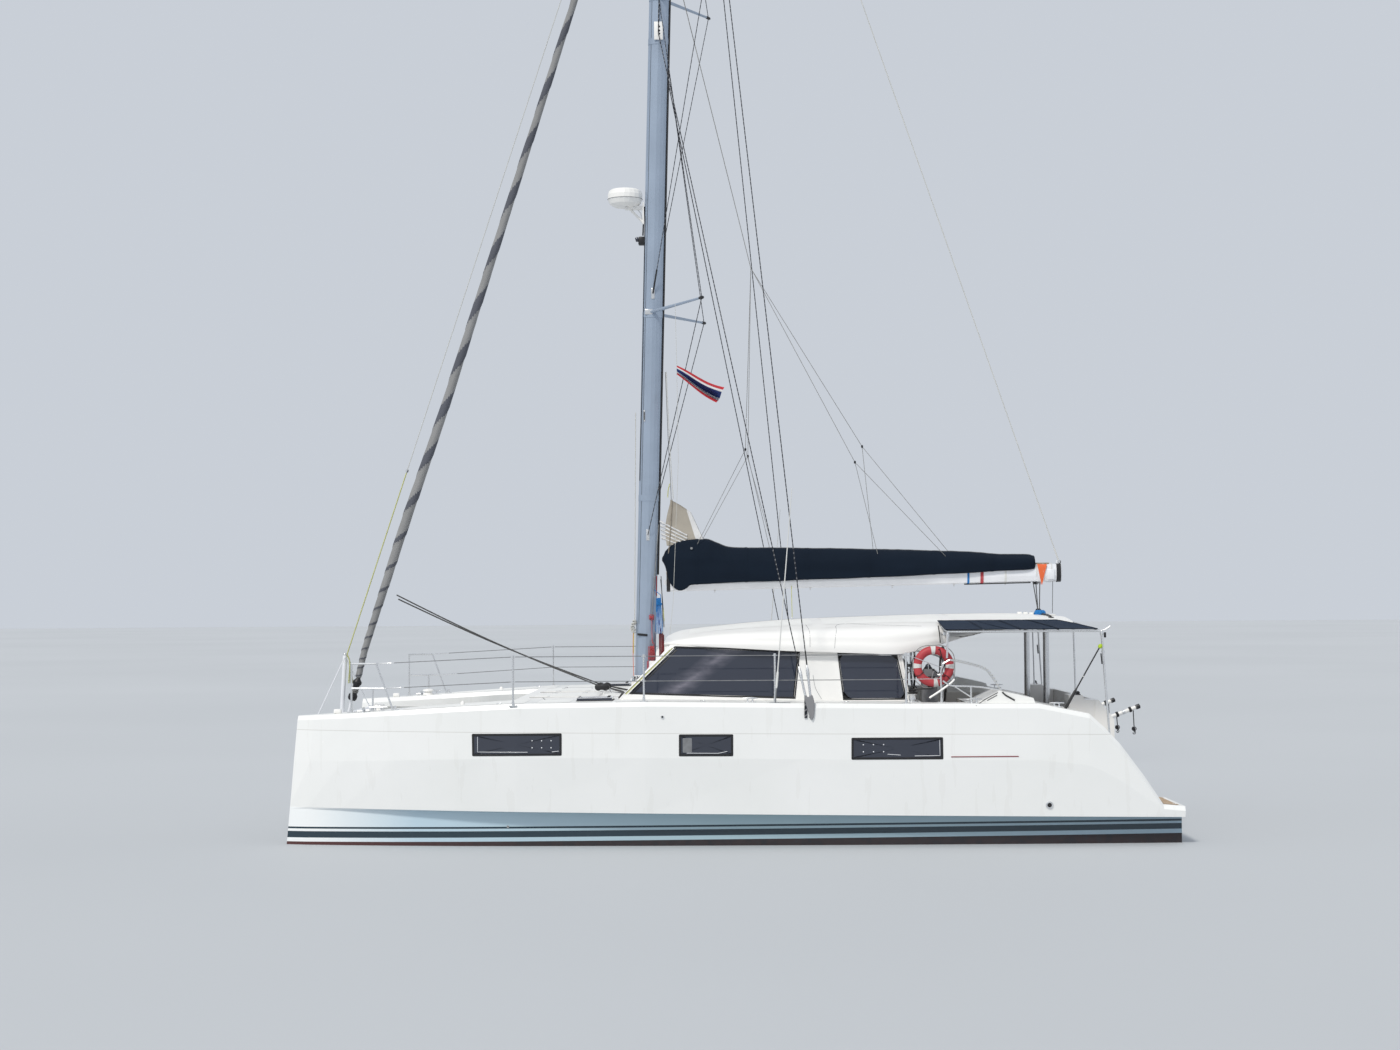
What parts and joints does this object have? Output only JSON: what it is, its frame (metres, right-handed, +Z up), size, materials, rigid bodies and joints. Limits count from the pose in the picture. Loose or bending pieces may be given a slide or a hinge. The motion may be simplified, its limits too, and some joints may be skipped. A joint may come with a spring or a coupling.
{
  "type": "sailing catamaran",
  "caption": "Cruising catamaran afloat: twin hulls, bridgedeck cabin with hardtop, raked mast, furled headsail and bagged mainsail on a boom.",
  "frame": {"origin": "midships on the centreline, at the waterline", "axes": "+X to the bow, +Y to port, +Z up"},
  "size_m": [11.97, 6.9252, 21.2307],
  "materials": {
    "gelcoat": "polished white gelcoat",
    "glass": "dark tinted",
    "mast_alloy": "anodised",
    "boom_alloy": "pale grey",
    "steel": "polished stainless",
    "wire": "stranded wire",
    "canvas": "woven acrylic, navy",
    "sailcloth": "woven polyester, aged",
    "jib_cloth": "grey sun strip over polyester",
    "netting": "open net",
    "cushion": "outdoor upholstery",
    "teak": "oiled",
    "lifebuoy": "red shell",
    "cast": "painted",
    "antifouling": "matte bottom paint",
    "bronze": "bronze",
    "black": "black",
    "blue_rope": "braided",
    "red_rope": "braided"
  },
  "bodies": {
    "boat": {"bridgedeck": "gelcoat", "cabin_walls": "gelcoat", "bulkhead": "gelcoat", "hardtop": "gelcoat", "bulkhead_pane": "glass", "mast": "mast_alloy", "radar": "gelcoat", "crossbeam": "mast_alloy", "stern_frame": "steel", "cockpit_table": "teak", "cockpit_cushion": "cushion", "lifebuoy": "lifebuoy", "hank_blue": "blue_rope", "hank_red": "red_rope", "hull_port": "gelcoat", "side_glass_front_port": "glass", "side_glass_aft_port": "glass", "windscreen_port": "glass", "diamond_stay_port": "wire", "cap_shroud_port": "wire", "lower_shroud_port": "wire", "guard_rail_port": "steel", "canopy_frame_port": "steel", "canopy_port": "canvas", "trampoline_port": "netting", "engine_port": "cast", "helm_pedestal_port": "gelcoat", "saildrive_port": "cast", "hull_starboard": "gelcoat", "side_glass_front_starboard": "glass", "side_glass_aft_starboard": "glass", "windscreen_starboard": "glass", "diamond_stay_starboard": "wire", "cap_shroud_starboard": "wire", "lower_shroud_starboard": "wire", "guard_rail_starboard": "steel", "canopy_frame_starboard": "steel", "canopy_starboard": "canvas", "trampoline_starboard": "netting", "engine_starboard": "cast", "helm_pedestal_starboard": "gelcoat", "saildrive_starboard": "cast"},
    "boom": {"boom": "boom_alloy", "sail_bag": "canvas", "sail_head": "sailcloth"},
    "furler": {"furled_jib": "jib_cloth"},
    "door": {"saloon_door": "glass"},
    "ladder": {"ladder": "steel"},
    "wheel_port": {"helm_wheel_port": "black"},
    "rudder_port": {"rudder_port": "antifouling"},
    "propeller_port": {"propeller_port": "bronze"},
    "locker_lid_port": {"locker_lid_port": "gelcoat"},
    "engine_hatch_port": {"engine_hatch_port": "gelcoat"},
    "deck_hatch_port": {"deck_hatch_port": "glass"},
    "wheel_starboard": {"helm_wheel_starboard": "black"},
    "rudder_starboard": {"rudder_starboard": "antifouling"},
    "propeller_starboard": {"propeller_starboard": "bronze"},
    "locker_lid_starboard": {"locker_lid_starboard": "gelcoat"},
    "engine_hatch_starboard": {"engine_hatch_starboard": "gelcoat"},
    "deck_hatch_starboard": {"deck_hatch_starboard": "glass"}
  },
  "joints": [
    {"name": "boom_swing", "type": "hinge", "parent": "boat", "child": "boom", "pos_m": [0.935, 0, 3.5], "axis": [-0.0343, 0, 0.9994], "range_deg": [-50, 50]},
    {"name": "furler_turn", "type": "hinge", "parent": "boat", "child": "furler", "pos_m": [5.592, 0, 1.64], "axis": [-0.306, 0, 0.952], "continuous": true},
    {"name": "door_slide", "type": "slide", "parent": "boat", "child": "door", "axis": [0, -1, 0], "range_m": [0, 0.86]},
    {"name": "ladder_fold", "type": "hinge", "parent": "boat", "child": "ladder", "pos_m": [-5.988, -2.6, 0.534], "axis": [0, -1, 0], "range_deg": [0, 265]},
    {"name": "wheel_port", "type": "hinge", "parent": "boat", "child": "wheel_port", "pos_m": [-2.89, 2.42, 2.2], "axis": [1, 0, 0], "range_deg": [-540, 540]},
    {"name": "rudder_port", "type": "hinge", "parent": "boat", "child": "rudder_port", "pos_m": [-5.02, 2.6, -0.4], "axis": [0, 0, 1], "range_deg": [-35, 35]},
    {"name": "propeller_port", "type": "hinge", "parent": "boat", "child": "propeller_port", "pos_m": [-4.625, 2.6, -0.72], "axis": [1, 0, 0], "continuous": true},
    {"name": "locker_port", "type": "hinge", "parent": "boat", "child": "locker_lid_port", "pos_m": [1.834, 0.88, 1.906], "axis": [0, -1, 0], "range_deg": [0, 80]},
    {"name": "engine_hatch_port", "type": "hinge", "parent": "boat", "child": "engine_hatch_port", "pos_m": [-4.123, 2.55, 1.446], "axis": [0, 1, 0], "range_deg": [0, 85]},
    {"name": "deck_hatch_port", "type": "hinge", "parent": "boat", "child": "deck_hatch_port", "pos_m": [2.035, 2.6, 1.937], "axis": [0, 1, 0], "range_deg": [0, 80]},
    {"name": "wheel_starboard", "type": "hinge", "parent": "boat", "child": "wheel_starboard", "pos_m": [-2.89, -2.42, 2.2], "axis": [1, 0, 0], "range_deg": [-540, 540]},
    {"name": "rudder_starboard", "type": "hinge", "parent": "boat", "child": "rudder_starboard", "pos_m": [-5.02, -2.6, -0.4], "axis": [0, 0, 1], "range_deg": [-35, 35]},
    {"name": "propeller_starboard", "type": "hinge", "parent": "boat", "child": "propeller_starboard", "pos_m": [-4.625, -2.6, -0.72], "axis": [1, 0, 0], "continuous": true},
    {"name": "locker_starboard", "type": "hinge", "parent": "boat", "child": "locker_lid_starboard", "pos_m": [1.834, -0.88, 1.906], "axis": [0, -1, 0], "range_deg": [0, 80]},
    {"name": "engine_hatch_starboard", "type": "hinge", "parent": "boat", "child": "engine_hatch_starboard", "pos_m": [-4.123, -2.55, 1.446], "axis": [0, 1, 0], "range_deg": [0, 85]},
    {"name": "deck_hatch_starboard", "type": "hinge", "parent": "boat", "child": "deck_hatch_starboard", "pos_m": [2.035, -2.6, 1.937], "axis": [0, 1, 0], "range_deg": [0, 80]}
  ],
  "couplings": [
    {"joint": "wheel_starboard", "follows": "wheel_port", "ratio": 1},
    {"joint": "rudder_port", "follows": "wheel_port", "ratio": 0.0648},
    {"joint": "rudder_starboard", "follows": "wheel_port", "ratio": 0.0648}
  ]
}
